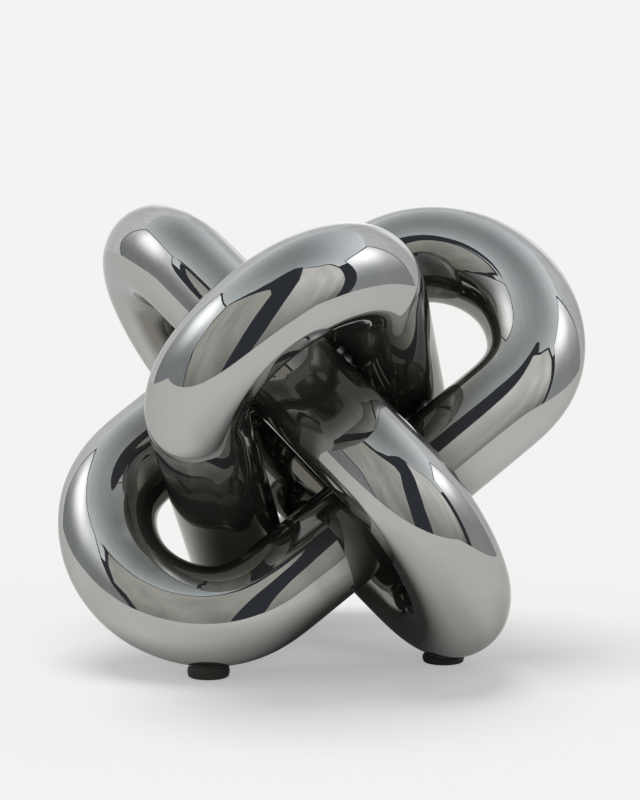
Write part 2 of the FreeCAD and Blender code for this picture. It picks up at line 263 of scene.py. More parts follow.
def ring_places(link):
    """Places of a link's rings, as shares of its length, and the rings of halves and joints."""
    half = link.length / 2
    weld = np.linspace(-WELD_DEPTH, WELD_DEPTH, WELD_RINGS, endpoint=False)
    steps = round((half - 2 * WELD_DEPTH) / RING_STEP)
    bend = WELD_DEPTH + np.arange(steps) / steps * (half - 2 * WELD_DEPTH)
    places = np.concatenate((weld, bend, half + weld, half + bend))
    upper = np.arange(WELD_RINGS, WELD_RINGS + steps + 1)
    lower = (upper + WELD_RINGS + steps) % len(places)
    top_weld = np.arange(WELD_RINGS + 1)
    under_weld = top_weld + WELD_RINGS + steps
    return places / link.length, (upper, lower), (top_weld, under_weld)


def to_world(link, flat):
    return link.centre + flat[:, :1] * link.along + flat[:, 1:] * link.across


def sweep(link):
    """Ring centres, outward directions, skin points and skin normals of a whole link."""
    places, link.halves, link.joints = ring_places(link)
    nudge = LINE_STEP / link.length
    here = along_closed_line(link.line, places % 1)[0]
    ahead = along_closed_line(link.line, (places + nudge) % 1)[0]
    behind = along_closed_line(link.line, (places - nudge) % 1)[0]
    run = ahead - behind
    run = run / np.linalg.norm(run, axis=1)[:, None]
    outward = np.column_stack((-run[:, 1], run[:, 0]))
    link.ring_centres = to_world(link, here)
    link.ring_outward = to_world(link, outward) - link.centre
    link.ring_run = to_world(link, run) - link.centre
    turns = around(SIDES)
    spokes = (np.cos(turns)[None, :, None] * link.ring_outward[:, None, :]
              + np.sin(turns)[None, :, None] * link.facing)
    true_skin = link.ring_centres[:, None, :] + link.bar * spokes
    waves = hand_waves(true_skin.reshape(-1, 3), WAVE_SEEDS[link.name])
    link.spokes = spokes
    link.skin = true_skin + waves.reshape(spokes.shape[:2])[..., None] * spokes
    lengthwise = np.roll(link.skin, -1, axis=0) - np.roll(link.skin, 1, axis=0)
    sideways = np.roll(link.skin, -1, axis=1) - np.roll(link.skin, 1, axis=1)
    normals = np.cross(sideways, lengthwise)
    normals /= np.linalg.norm(normals, axis=2)[..., None]
    link.normals = normals * np.sign((normals * spokes).sum(axis=2))[..., None]


for link in links.values():
    sweep(link)
    print(link.name, "skin", link.skin.shape[0], "rings of", SIDES)

# %% [markdown]
# ## Recesses
# Where pieces crowd one another, the metal's colour is made darker and
# browner: a painted shade in the recesses. To know where that is, a few
# rays are sent out from points of the skin, and the share that meets metal
# on its way is kept as a number from 0, open, to 1, shut in. It is
# measured on a coarse net of points and spread over the fine one, because
# it changes slowly.

# %% Measure the recesses
RECESS_EVERY = 6
RECESS_RAYS = 20
RECESS_REACH = 110 * MM
LIFT_OFF = 0.2 * MM
GOLDEN_TURN = math.pi * (3 - math.sqrt(5))


def quads(rows, columns, closed_rows):
    """Faces of a net of points whose columns close on themselves."""
    last = rows if closed_rows else rows - 1
    faces = []
    for row in range(last):
        below = (row + 1) % rows
        for column in range(columns):
            beside = (column + 1) % columns
            faces.append((row * columns + column, row * columns + beside,
                          below * columns + beside, below * columns + column))
    return faces


def ray_fan(count):
    """Directions spread evenly over a half sphere round +Z, more of them near the pole."""
    steps = (np.arange(count) + 0.5) / count
    reach = np.sqrt(steps)
    turns = np.arange(count) * GOLDEN_TURN
    return np.column_stack((reach * np.cos(turns), reach * np.sin(turns), np.sqrt(1 - steps)))


def shut_in(tree, point, normal, fan):
    turn = Vector(normal).to_track_quat("Z", "Y")
    start = Vector(point) + Vector(normal) * LIFT_OFF
    hits = [tree.ray_cast(start, turn @ Vector(ray), RECESS_REACH)[0] for ray in fan]
    return sum(hit is not None for hit in hits) / len(fan)


def spread(coarse, rows, columns):
    """Fills a fine closed net from a coarse one, row by row and then column by column."""
    row_places = np.arange(rows) / rows * coarse.shape[0]
    column_places = np.arange(columns) / columns * coarse.shape[1]
    tall = np.vstack((coarse, coarse[:1]))
    counts = np.arange(len(tall))
    tall = np.column_stack([np.interp(row_places, counts, column) for column in tall.T])
    wide = np.column_stack((tall, tall[:, :1]))
    counts = np.arange(wide.shape[1])
    return np.vstack([np.interp(column_places, counts, row) for row in wide])


def measure_recesses():
    points, faces = [], []
    for link in links.values():
        net = quads(link.skin.shape[0], SIDES, True)
        faces.extend(tuple(corner + len(points) for corner in face) for face in net)
        points.extend(link.skin.reshape(-1, 3).tolist())
    tree = BVHTree.FromPolygons(points, faces)
    fan = ray_fan(RECESS_RAYS)
    for link in links.values():
        count = len(link.skin)
        rows = np.linspace(0, count, count // RECESS_EVERY, endpoint=False).astype(int)
        columns = range(0, SIDES, RECESS_EVERY)
        coarse = np.array([[shut_in(tree, link.skin[row, column], link.normals[row, column], fan)
                            for column in columns] for row in rows])
        link.recess = spread(coarse, count, SIDES)
        print(link.name, "mean recess", round(float(link.recess.mean()), 3))


measure_recesses()

# %% [markdown]
# ## Castings and welds
# Closed rings can't be passed through each other, so each link is cast in
# two halves that are brought together inside its neighbours, lined up on
# dowels and welded round. A half has a bore for the dowel and a bevel for
# the weld at each end. The weld is a ring of triangular section, dressed
# flush. The outer faces carry the normals worked out above, and the hidden
# ones are left flat.

# %% A piece from points and faces
RECESS_LAYER = "recess"


def new_piece(name, points, faces, smooth_faces, normals=None, recess=None):
    """Mesh object whose first faces are smooth, with given normals on their corners."""
    mesh = bpy.data.meshes.new(name)
    mesh.from_pydata([tuple(point) for point in points], [], faces)
    smooth = [index < smooth_faces for index in range(len(faces))]
    mesh.polygons.foreach_set("use_smooth", smooth)
    mesh.update()
    if recess is not None:
        layer = mesh.attributes.new(RECESS_LAYER, "FLOAT", "POINT")
        layer.data.foreach_set("value", np.asarray(recess, dtype=np.float32))
    if normals is not None:
        corner_normals = []
        for polygon in mesh.polygons:
            for vertex in polygon.vertices:
                outer = polygon.index < smooth_faces
                corner_normals.append(tuple(normals[vertex]) if outer else (0.0, 0.0, 0.0))
        mesh.normals_split_custom_set(corner_normals)
    piece = bpy.data.objects.new(name, mesh)
    bpy.context.scene.collection.objects.link(piece)
    return piece


print("each point of the skin keeps its", RECESS_LAYER)

# %% [markdown]
# The bore and the bevel are out of sight, but without them the halves would
# not go together, so both are there. They could be cut with a boolean.
# Rings of points keep the mesh clean: from the bevel's root in to the mouth
# of the bore, along the bore and over its flat bottom.

# %% Ends of a casting
BORE_RADIUS = 5.1 * MM
BORE_DEPTH = 16.5 * MM


def end_rings(link, ring, inward):
    """Rings of a joint's hidden faces: bevel root, bore mouth, bore bottom and its middle."""
    plane = link.ring_centres[ring]
    run = link.ring_run[ring] * inward
    spokes = link.spokes[ring]
    return np.vstack((
        plane + (link.bar - WELD_DEPTH) * spokes,
        plane + BORE_RADIUS * spokes,
        plane + BORE_DEPTH * run + BORE_RADIUS * spokes,
        plane + BORE_DEPTH * run,
    ))


def end_faces(rim, start, flip):
    """Faces from an outer rim ring through the hidden rings to the bore's bottom."""
    rings = [rim, start, start + SIDES, start + 2 * SIDES]
    faces = []
    for outer, inner in zip(rings, rings[1:]):
        for side in range(SIDES):
            beside = (side + 1) % SIDES
            faces.append((outer + side, outer + beside, inner + beside, inner + side))
    bottom = start + 3 * SIDES
    for side in range(SIDES):
        faces.append((rings[-1] + side, rings[-1] + (side + 1) % SIDES, bottom))
    return [face[::-1] for face in faces] if flip else faces


print("bore", round(2 * BORE_RADIUS / MM, 1), "mm wide,", round(BORE_DEPTH / MM, 1), "mm deep")

# %% [markdown]
# A casting is the skin of its half with such an end at either side. A weld
# is a narrow band of the same skin, closed to one ring at its root.

# %% Build castings and welds


def casting(link, half, name):
    """Half link from weld bevel to weld bevel, closed at both ends."""
    rings = link.halves[half]
    points = link.skin[rings].reshape(-1, 3)
    faces = quads(len(rings), SIDES, False)
    outer = len(faces)
    joint_before = rings[0] - WELD_RINGS // 2
    joint_after = (rings[-1] + WELD_RINGS // 2) % len(link.skin)
    start_rings = end_rings(link, joint_before, 1)
    close_rings = end_rings(link, joint_after, -1)
    faces += end_faces(0, len(points), True)
    faces += end_faces((len(rings) - 1) * SIDES, len(points) + len(start_rings), False)
    hidden = np.zeros((len(start_rings) + len(close_rings), 3))
    normals = np.vstack((link.normals[rings].reshape(-1, 3), hidden))
    recess = np.concatenate((link.recess[rings].reshape(-1), np.ones(len(hidden))))
    return new_piece(name, np.vstack((points, start_rings, close_rings)), faces, outer,
                     normals, recess)


def weld(link, joint, name):
    """Weld ring: the flush outer band, closed to its root inside the bevel."""
    rings = link.joints[joint]
    middle = rings[len(rings) // 2]
    root = link.ring_centres[middle] + (link.bar - WELD_DEPTH) * link.spokes[middle]
    points = np.vstack((link.skin[rings].reshape(-1, 3), root))
    band = quads(len(rings), SIDES, False)
    faces = quads(len(rings) + 1, SIDES, True)
    normals = np.vstack((link.normals[rings].reshape(-1, 3), np.zeros((SIDES, 3))))
    recess = np.concatenate((link.recess[rings].reshape(-1), np.ones(SIDES)))
    return new_piece(name, points, faces, len(band), normals, recess)


metal_pieces = []
for link in links.values():
    for half, place in enumerate(("upper", "lower")):
        piece = casting(link, half, f"{link.name}_{place}_casting")
        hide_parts(f"{link.name}_link_{place}_half")
        metal_pieces.append(piece)
    for joint, place in enumerate(("top", "under")):
        piece = weld(link, joint, f"{link.name}_{place}_weld_ring")
        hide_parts(f"{link.name}_link_{place}_weld")
        metal_pieces.append(piece)
for piece in metal_pieces:
    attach(piece, "root")
print(len(metal_pieces), "castings and welds")

# %% [markdown]
# ## Tacks
# Where the limbs of two links all but touch, a small drop of filler holds
# them. A drop that has wetted two round bars is a saddle with a hollow rim,
# thinnest in the middle. It is built as two faces that follow the bars and a
# rim of a few rings drawn in towards the middle.

# %% Build the tacks
TACK_LINKS = {"back_tack": ("left", "right"), "crown_tack": ("right", "front"),
              "right_tack": ("front", "left"), "left_tack": ("front", "left")}
TACK_SIDES = 40
TACK_RINGS = 8
RIM_RINGS = 7
RIM_HOLLOW = 0.35 * MM
SKIN_BITE = 0.06 * MM


def closed_tube(name, rings, first_end, last_end, flip=False):
    """Smooth piece made of equal rings of points, closed by a fan to a point at either end."""
    sides = len(rings[0])
    faces = quads(len(rings), sides, False)
    first = len(rings) * sides
    last_ring = first - sides
    for side in range(sides):
        beside = (side + 1) % sides
        faces.append((beside, side, first))
        faces.append((last_ring + side, last_ring + beside, first + 1))
    if flip:
        faces = [face[::-1] for face in faces]
    return new_piece(name, np.vstack((*rings, first_end, last_end)), faces, len(faces))


def bar_drop(link, offsets):
    """How far a link's limb falls away from its crest, at offsets from the crest."""
    sideways = offsets - np.outer(offsets @ link.along, link.along)
    return link.bar - np.sqrt(link.bar ** 2 - (sideways ** 2).sum(axis=1))


def tack(name, first, second):
    points = node_points(name)
    middle = box_middle(points)
    across = unit(np.cross(first.along, second.along))
    side = unit(first.along)
    other = np.cross(across, side)
    flat = points - middle
    flat = flat - np.outer(flat @ across, across)
    radius = np.linalg.norm(flat, axis=1).max()
    half_gap = np.abs((points - middle) @ across).min()
    toward_first = np.sign((first.centre - middle) @ across)
    turns = around(TACK_SIDES)
    spokes = np.outer(np.cos(turns), side) + np.outer(np.sin(turns), other)

    def face_ring(link, direction, reach):
        offsets = reach * spokes
        height = half_gap + SKIN_BITE + bar_drop(link, offsets)
        return middle + offsets + direction * height[:, None] * across

    shares = np.linspace(1 / TACK_RINGS, 1, TACK_RINGS)
    upper = [face_ring(first, toward_first, radius * share) for share in shares]
    lower = [face_ring(second, -toward_first, radius * share) for share in shares[::-1]]
    rim = []
    for step in range(1, RIM_RINGS):
        share = step / RIM_RINGS
        draw_in = RIM_HOLLOW * math.sin(math.pi * share)
        ring = upper[-1] * (1 - share) + lower[0] * share
        rim.append(ring - draw_in * spokes)
    bite = toward_first * (half_gap + SKIN_BITE) * across
    return closed_tube(f"{name}_drop", upper + rim + lower, middle + bite, middle - bite,
                       flip=toward_first < 0)


for name, (first, second) in TACK_LINKS.items():
    drop = tack(name, links[first], links[second])
    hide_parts(name)
    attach(drop, "root")
    metal_pieces.append(drop)
print(len(TACK_LINKS), "tacks")

# %% [markdown]
# ## Foot pads
# Three small round pads of dark rubber stand under the lowest points of the
# bends. A pad has soft edges, a side that bulges slightly under the weight,
# and a top that is pressed to the shape of the bend. That top is worked out
# from the link itself: the underside of a bent bar is the lower envelope of
# balls set along its centre line.

# %% Underside of a bend
FEET = {"left": "left", "right": "right", "rear": "front"}


def underside(link, spots):
    """Height of a link's skin above each spot of the table."""
    heights = []
    for spot in spots:
        apart = np.linalg.norm(link.ring_centres[:, :2] - spot, axis=1)
        near = link.ring_centres[apart < link.bar]
        gap = apart[apart < link.bar]
        heights.append((near[:, 2] - np.sqrt(link.bar ** 2 - gap ** 2)).min())
    return np.array(heights)


print("each foot and the link over it:", FEET)

# %% [markdown]
# A pad is a closed tube of rings: its lower edge, the bulging side, its
# upper edge and the pressed top. The glue is a film of even thickness on
# that top, with a small bead where it was squeezed out.

# %% Build the pads and their glue
PAD_SIDES = 96
PAD_EDGE = 0.7 * MM
PAD_TOP_EDGE = 0.45 * MM
PAD_BULGE = 0.18 * MM
EDGE_STEPS = 6
WALL_STEPS = 8
TOP_STEPS = 10
GLUE_INSET = 0.35 * MM
GLUE_BEAD = 0.12 * MM


def round_edge(radius, edge, first, last, height):
    """Radii and heights of a quarter round edge."""
    return [(radius - edge + edge * math.cos(angle), height + edge * math.sin(angle))
            for angle in np.linspace(first, last, EDGE_STEPS)]


def foot(place, link):
    low, high = (np.array(corner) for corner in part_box(f"{place}_foot_pad"))
    middle = (low + high)[:2] / 2
    radius = (high - low)[0] / 2 - PAD_BULGE
    spokes = round_points(around(PAD_SIDES))
    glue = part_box(f"{place}_foot_glue")[0].z - low[2]
    film = underside(link, [middle])[0] - low[2] - glue
    rings = []
    for reach, height in round_edge(radius, PAD_EDGE, -RIGHT_ANGLE, 0, PAD_EDGE):
        spots = middle + reach * spokes
        rings.append(np.column_stack((spots, np.full(PAD_SIDES, low[2] + height))))
    rim_top = underside(link, middle + radius * spokes) - film - PAD_TOP_EDGE
    for step in range(1, WALL_STEPS):
        share = step / WALL_STEPS
        reach = radius + PAD_BULGE * math.sin(math.pi * share)
        height = low[2] + PAD_EDGE + share * (rim_top - low[2] - PAD_EDGE)
        rings.append(np.column_stack((middle + reach * spokes, height)))
    for reach, height in round_edge(radius, PAD_TOP_EDGE, 0, RIGHT_ANGLE, 0):
        rings.append(np.column_stack((middle + reach * spokes, rim_top + height)))
    inner = radius - PAD_TOP_EDGE
    for step in range(1, TOP_STEPS):
        spots = middle + inner * (1 - step / TOP_STEPS) * spokes
        rings.append(np.column_stack((spots, underside(link, spots) - film)))
    base = np.append(middle, low[2])
    peak = np.append(middle, underside(link, [middle])[0] - film)
    pad = closed_tube(f"{place}_rubber_pad", rings, base, peak)
    return pad, glue_film(place, link, middle, radius, film, spokes)


def glue_film(place, link, middle, radius, film, spokes):
    """Thin film between pad and bend, with a small bead squeezed out round its edge."""
    reach = radius - PAD_TOP_EDGE - GLUE_INSET
    shares = np.linspace(1 / TOP_STEPS, 1, TOP_STEPS)

    def ring(share, lift):
        spots = middle + reach * share * spokes
        return np.column_stack((spots, underside(link, spots) + lift))

    lower = [ring(share, -film) for share in shares]
    bead = [ring(1 + GLUE_BEAD / reach * math.sin(math.pi * step / EDGE_STEPS),
                 -film * (1 - step / EDGE_STEPS)) for step in range(1, EDGE_STEPS)]
    upper = [ring(share, 0) for share in shares[::-1]]
    bend = underside(link, [middle])[0]
    return closed_tube(f"{place}_glue_film", lower + bead + upper,
                       [*middle, bend - film], [*middle, bend])


pads, films = [], []
for place, name in FEET.items():
    pad, film = foot(place, links[name])
    for piece, node, slot in ((pad, f"{place}_foot_pad", "pad_rubber"),
                              (film, f"{place}_foot_glue", "pad_glue")):
        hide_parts(node)
        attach(piece, "root")
    pads.append(pad)
    films.append(film)
print(len(pads), "pads and", len(films), "glue films")

# %% [markdown]
# ## Helpers for shader trees
# A material is a graph of small steps. One helper adds a node, gives each
# input its value or the socket that feeds it, and hands back an output, so
# that each material below reads as a list of what the finish is made of.

# %% Shader helpers
FLOAT, COLOUR, VECTOR = "NodeSocketFloat", "NodeSocketColor", "NodeSocketVector"
WHITE, BLACK = (1.0, 1.0, 1.0, 1.0), (0.0, 0.0, 0.0, 1.0)


def step(tree, kind, given=(), output=0, **settings):
    """Output of a new node, fed with values or sockets by input name or number."""
    node = tree.nodes.new(kind)
    for setting, value in settings.items():
        setattr(node, setting, value)
    for key, value in dict(given).items():
        if isinstance(value, bpy.types.NodeSocket):
            tree.links.new(value, node.inputs[key])
        else:
            node.inputs[key].default_value = value
    return node.outputs[output] if len(node.outputs) else None


def mix(tree, share, first, second):
    """Colour between two others."""
    return step(tree, "ShaderNodeMix", {0: share, 6: first, 7: second}, 2, data_type="RGBA")


def graded(tree, value, start=0.0, end=1.0, low=0.0, high=1.0, shape="LINEAR"):
    """Number that goes from low to high while the value goes from start to end."""
    return step(tree, "ShaderNodeMapRange",
                {"Value": value, "From Min": start, "From Max": end, "To Min": low, "To Max": high},
                interpolation_type=shape)


def maths(tree, operation, *terms):
    return step(tree, "ShaderNodeMath", dict(enumerate(terms)), operation=operation)


def new_group(name, inputs, outputs):
    """Shader node group with sockets given as (name, kind, default), and its inputs."""
    group = bpy.data.node_groups.new(name, "ShaderNodeTree")
    for socket, kind, value in inputs:
        item = group.interface.new_socket(socket, in_out="INPUT", socket_type=kind)
        item.default_value = value
    for socket, kind in outputs:
        group.interface.new_socket(socket, in_out="OUTPUT", socket_type=kind)
    return group, group.nodes.new("NodeGroupInput").outputs


def use_group(tree, group, values):
    return step(tree, "ShaderNodeGroup", values, node_tree=group)


def new_material(name):
    material = bpy.data.materials.new(name)
    material.use_nodes = True
    material.node_tree.nodes.clear()
    return material, material.node_tree


def surface(tree, kind, given):
    """Ends a material with one shader."""
    step(tree, "ShaderNodeOutputMaterial", {"Surface": step(tree, kind, given)})


def dress(pieces, material):
    for piece in pieces:
        piece.data.materials.clear()
        piece.data.materials.append(material)


print("helpers for shader trees are ready")

# %% [markdown]
# ## Shared effects
# Two effects are used by more than one material, so each is a node group
# with its own inputs. *Polish marks* gives a height for a Bump node: short
# ripples left by the buffing wheel and, much finer, its hairlines.

# %% Group: polish marks
RIPPLE_GRAIN = {"Detail": 2.0, "Roughness": 0.4}
HAIRLINE_DRAW = {"Scale": (1.0, 0.12, 0.35), "Rotation": (0.4, 0.9, 0.2)}


def build_polish_marks():
    group, given = new_group(
        "polish_marks",
        [("Vector", VECTOR, (0, 0, 0)), ("Ripple Scale", FLOAT, 200.0), ("Ripple", FLOAT, 0.5),
         ("Hairline Scale", FLOAT, 2500.0), ("Hairline", FLOAT, 0.1)],
        [("Height", FLOAT)])
    ripple = step(group, "ShaderNodeTexNoise",
                  {"Vector": given["Vector"], "Scale": given["Ripple Scale"], **RIPPLE_GRAIN})
    drawn = step(group, "ShaderNodeMapping", {"Vector": given["Vector"], **HAIRLINE_DRAW})
    hairline = step(group, "ShaderNodeTexNoise",
                    {"Vector": drawn, "Scale": given["Hairline Scale"], "Detail": 1.0})
    ripple_height = maths(group, "MULTIPLY", ripple, given["Ripple"])
    height = maths(group, "MULTIPLY_ADD", hairline, given["Hairline"], ripple_height)
    step(group, "NodeGroupOutput", {"Height": height})
    return group


polish_marks = build_polish_marks()
print("group", polish_marks.name)

# %% [markdown]
# *Uneven film* gives a mask of soft cloudy patches, for the tint and the
# haze on the metal and for wear on the rubber.

# %% Group: uneven film
FILM_GRAIN = {"Detail": 5.0, "Roughness": 0.6, "Distortion": 0.6}


def build_uneven_film():
    group, given = new_group(
        "uneven_film",
        [("Vector", VECTOR, (0, 0, 0)), ("Scale", FLOAT, 40.0), ("From", FLOAT, 0.4),
         ("To", FLOAT, 0.7)],
        [("Mask", FLOAT)])
    cloud = step(group, "ShaderNodeTexNoise",
                 {"Vector": given["Vector"], "Scale": given["Scale"], **FILM_GRAIN})
    mask = graded(group, cloud, given["From"], given["To"], shape="SMOOTHSTEP")
    step(group, "NodeGroupOutput", {"Mask": mask})
    return group


uneven_film = build_uneven_film()
print("group", uneven_film.name)

# %% [markdown]
# ## Dark nickel
# The finish of the links is a bright dark nickel: a mirror that gives back
# about half of the light and is a little cool. In the recesses its colour
# is darker and browner, a painted shade. Four things keep it from looking
# like a computer's mirror: the ripples of the polish, a faint haze in
# patches, the tint that the plating takes on, and a trace of dust, most of
# it in the recesses, which lifts the deepest blacks a little.

# %% Material: dark nickel
OPEN_NICKEL = (0.480, 0.482, 0.482, 1.0)
WARM_NICKEL = (0.450, 0.445, 0.425, 1.0)
# painted shade: the metal's colour in the recesses
PAINTED_RECESS_SHADE = (0.225, 0.220, 0.200, 1.0)
EDGE_TINT = (0.70, 0.71, 0.72, 1.0)
RECESS_FROM, RECESS_TO = 0.12, 0.45
MIRROR_ROUGHNESS, HAZE_ROUGHNESS = 0.022, 0.055
OPEN_METAL, DUSTY_METAL = 0.975, 0.90
NICKEL_TINT = {"Scale": 28.0, "From": 0.35, "To": 0.75}
NICKEL_HAZE = {"Scale": 70.0, "From": 0.45, "To": 0.85}
NICKEL_MARKS = {"Ripple Scale": 260.0, "Ripple": 0.6, "Hairline Scale": 2600.0, "Hairline": 0.05}
NICKEL_BUMP = {"Strength": 0.35, "Distance": 0.03 * MM}


def build_dark_nickel():
    material, tree = new_material("dark_nickel")
    place = step(tree, "ShaderNodeTexCoord", output="Object")
    recess = step(tree, "ShaderNodeAttribute", output="Fac", attribute_name=RECESS_LAYER)
    shut = graded(tree, recess, RECESS_FROM, RECESS_TO, shape="SMOOTHSTEP")
    tint = use_group(tree, uneven_film, {"Vector": place, **NICKEL_TINT})
    haze = use_group(tree, uneven_film, {"Vector": place, **NICKEL_HAZE})
    marks = use_group(tree, polish_marks, {"Vector": place, **NICKEL_MARKS})
    plating = mix(tree, tint, OPEN_NICKEL, WARM_NICKEL)
    surface(tree, "ShaderNodeBsdfPrincipled", {
        # painted shade: the base colour turns darker and browner in the recesses
        "Base Color": mix(tree, shut, plating, PAINTED_RECESS_SHADE),
        "Metallic": graded(tree, shut, low=OPEN_METAL, high=DUSTY_METAL),
        "Roughness": graded(tree, haze, low=MIRROR_ROUGHNESS, high=HAZE_ROUGHNESS),
        "Specular Tint": EDGE_TINT,
        "Normal": step(tree, "ShaderNodeBump", {"Height": marks, **NICKEL_BUMP})})
    return material


dress(metal_pieces, build_dark_nickel())
print("dark nickel on", len(metal_pieces), "pieces")

# %% [markdown]
# ## Pad rubber
# The pads are a dense brown-black rubber with a matt, slightly open skin.
# It takes a fine grain and a little grey in soft patches of wear.

# %% Material: pad rubber
RUBBER = (0.020, 0.016, 0.013, 1.0)
RUBBED_RUBBER = (0.045, 0.038, 0.032, 1.0)
RUBBER_ROUGHNESS, RUBBED_ROUGHNESS = 0.55, 0.85
RUBBER_IOR = 1.5
RUBBER_WEAR = {"Scale": 420.0, "From": 0.45, "To": 0.75}
RUBBER_GRAIN = {"Scale": 2800.0, "Detail": 4.0}
RUBBER_BUMP = {"Strength": 0.5, "Distance": 0.08 * MM}


def build_pad_rubber():
    material, tree = new_material("pad_rubber")
    place = step(tree, "ShaderNodeTexCoord", output="Object")
    rubbed = use_group(tree, uneven_film, {"Vector": place, **RUBBER_WEAR})
    grain = step(tree, "ShaderNodeTexNoise", {"Vector": place, **RUBBER_GRAIN})
    surface(tree, "ShaderNodeBsdfPrincipled", {
        "Base Color": mix(tree, rubbed, RUBBER, RUBBED_RUBBER),
        "Roughness": graded(tree, rubbed, low=RUBBER_ROUGHNESS, high=RUBBED_ROUGHNESS),
        "IOR": RUBBER_IOR,
        "Normal": step(tree, "ShaderNodeBump", {"Height": grain, **RUBBER_BUMP})})
    return material


dress(pads, build_pad_rubber())
print("rubber on", len(pads), "pads")

# %% [markdown]
# ## Glue and dowels
# The glue is a thin smoky film, seen only as a line over each pad. The
# dowels are ground steel and are shut in the limbs, but they have their
# finish all the same: fine grinding lines.

# %% Materials: glue and dowel steel
GLUE, CLOUDY_GLUE = (0.10, 0.09, 0.08, 1.0), (0.16, 0.15, 0.13, 1.0)
GLUE_ROUGHNESS, GLUE_IOR = 0.3, 1.47
GLUE_CLOUDS = {"Scale": 500.0, "From": 0.3, "To": 0.7}
STEEL, HAZY_STEEL = (0.55, 0.56, 0.57, 1.0), (0.48, 0.48, 0.47, 1.0)
STEEL_ROUGHNESS = 0.28
STEEL_MARKS = {"Ripple Scale": 900.0, "Ripple": 0.2, "Hairline Scale": 5200.0, "Hairline": 0.8}
STEEL_BUMP = {"Strength": 0.4, "Distance": 0.01 * MM}
STEEL_HAZE = {"Scale": 160.0, "From": 0.4, "To": 0.8}


def build_glue():
    material, tree = new_material("pad_glue")
    place = step(tree, "ShaderNodeTexCoord", output="Object")
    cloud = use_group(tree, uneven_film, {"Vector": place, **GLUE_CLOUDS})
    surface(tree, "ShaderNodeBsdfPrincipled", {
        "Base Color": mix(tree, cloud, GLUE, CLOUDY_GLUE),
        "Roughness": GLUE_ROUGHNESS, "IOR": GLUE_IOR})
    return material


def build_dowel_steel():
    material, tree = new_material("dowel_steel")
    place = step(tree, "ShaderNodeTexCoord", output="Object")
    marks = use_group(tree, polish_marks, {"Vector": place, **STEEL_MARKS})
    haze = use_group(tree, uneven_film, {"Vector": place, **STEEL_HAZE})
    surface(tree, "ShaderNodeBsdfPrincipled", {
        "Base Color": mix(tree, haze, STEEL, HAZY_STEEL),
        "Metallic": 1.0, "Roughness": STEEL_ROUGHNESS,
        "Normal": step(tree, "ShaderNodeBump", {"Height": marks, **STEEL_BUMP})})
    return material


dress(films, build_glue())
dowels = [node for name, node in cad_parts.items() if name.endswith("_dowel")]
dress(dowels, build_dowel_steel())
print("steel on", len(dowels), "dowels")

# %% [markdown]
# ## Floor
# The sculpture stands on a plain pale table that runs out of sight. Its
# front edge was close to the sculpture in the photograph, just below the
# picture, and its right edge was not far off either. Every bend shows them
# as the line where the pale table ends. So the table is whole for the
# camera, and for a reflection it stops there. The bends also show a table
# that is much darker close under the sculpture than the camera sees it, so
# for reflections the table carries a painted shadow: it is greyer and
# glows less near the feet. Part of the table's tone is a glow, which keeps
# the shadow pale.

# %% Floor and its edge
FLOOR_REACH = 14.0
TABLE_FRONT, TABLE_RIGHT = -0.225, 0.42
TABLE_SHADE = (0.60, 0.60, 0.594, 1.0)
TABLE_GLOW = (0.370, 0.370, 0.366, 1.0)
MIRRORED_SHADE = (0.48, 0.475, 0.465, 1.0)
MIRRORED_GLOW = (0.46, 0.452, 0.435, 1.0)
# painted shadow: for reflections the table is darker and glows less near the feet, fading out
# between these two distances from this middle
UNDER_SHADE = (0.14, 0.138, 0.13, 1.0)
UNDER_GLOW = (0.03, 0.029, 0.027, 1.0)
UNDER_MIDDLE = Vector((-0.003, 0.014, 0.0))
UNDER_FROM, UNDER_TO = 0.030, 0.080


def flat_card(name, corners):
    card = new_piece(name, corners, [tuple(range(len(corners)))], 0)
    return card


def build_table_finish():
    material, tree = new_material("table_paper")
    seen = step(tree, "ShaderNodeLightPath", output="Is Camera Ray")
    spot = step(tree, "ShaderNodeNewGeometry", output="Position")
    apart = step(tree, "ShaderNodeVectorMath", {0: spot, 1: UNDER_MIDDLE}, "Value",
                 operation="DISTANCE")
    clear = graded(tree, apart, UNDER_FROM, UNDER_TO, shape="SMOOTHSTEP")
    shade = mix(tree, seen, mix(tree, clear, UNDER_SHADE, MIRRORED_SHADE), TABLE_SHADE)
    glow = mix(tree, seen, mix(tree, clear, UNDER_GLOW, MIRRORED_GLOW), TABLE_GLOW)
    lit = step(tree, "ShaderNodeAddShader", {
        0: step(tree, "ShaderNodeBsdfDiffuse", {"Color": shade}),
        1: step(tree, "ShaderNodeEmission", {"Color": glow})})
    rightward = step(tree, "ShaderNodeSeparateXYZ", {0: spot}, "X")
    backward = step(tree, "ShaderNodeSeparateXYZ", {0: spot}, "Y")
    on_table = maths(tree, "MINIMUM", maths(tree, "GREATER_THAN", backward, TABLE_FRONT),
                     maths(tree, "LESS_THAN", rightward, TABLE_RIGHT))
    shown = maths(tree, "MAXIMUM", on_table, seen)
    gone = step(tree, "ShaderNodeBsdfTransparent")
    surface(tree, "ShaderNodeMixShader", {0: shown, 1: gone, 2: lit})
    return material


floor = flat_card("table", [(right * FLOOR_REACH, back * FLOOR_REACH, 0)
                            for right, back in ((-1, -1), (1, -1), (1, 1), (-1, 1))])
dress([floor], build_table_finish())
print("for reflections the table ends", round(-TABLE_FRONT / MM), "mm in front of the middle")

# %% [markdown]
# ## The light tent
# A mirror shows its room, so the room has to be built: a tent of white
# cloth lit from outside, with a slit in front for the lens and thin dark
# gaps where its walls meet. Lit cloth changes its tone with height and
# hangs in soft folds. It has a spot that is brighter where a lamp stands
# close behind it, or darker where something keeps the light off.

# %% Group: lit cloth
CLOTH_FOLDS = {"Scale": (1.0, 1.0, 0.35), "Rotation": (0.3, 0.5, 0.0)}
CREASE_GRAIN = {"Scale": 7.0, "Detail": 4.0, "Roughness": 0.6}
CREASE_FROM, CREASE_TO = 0.25, 0.75


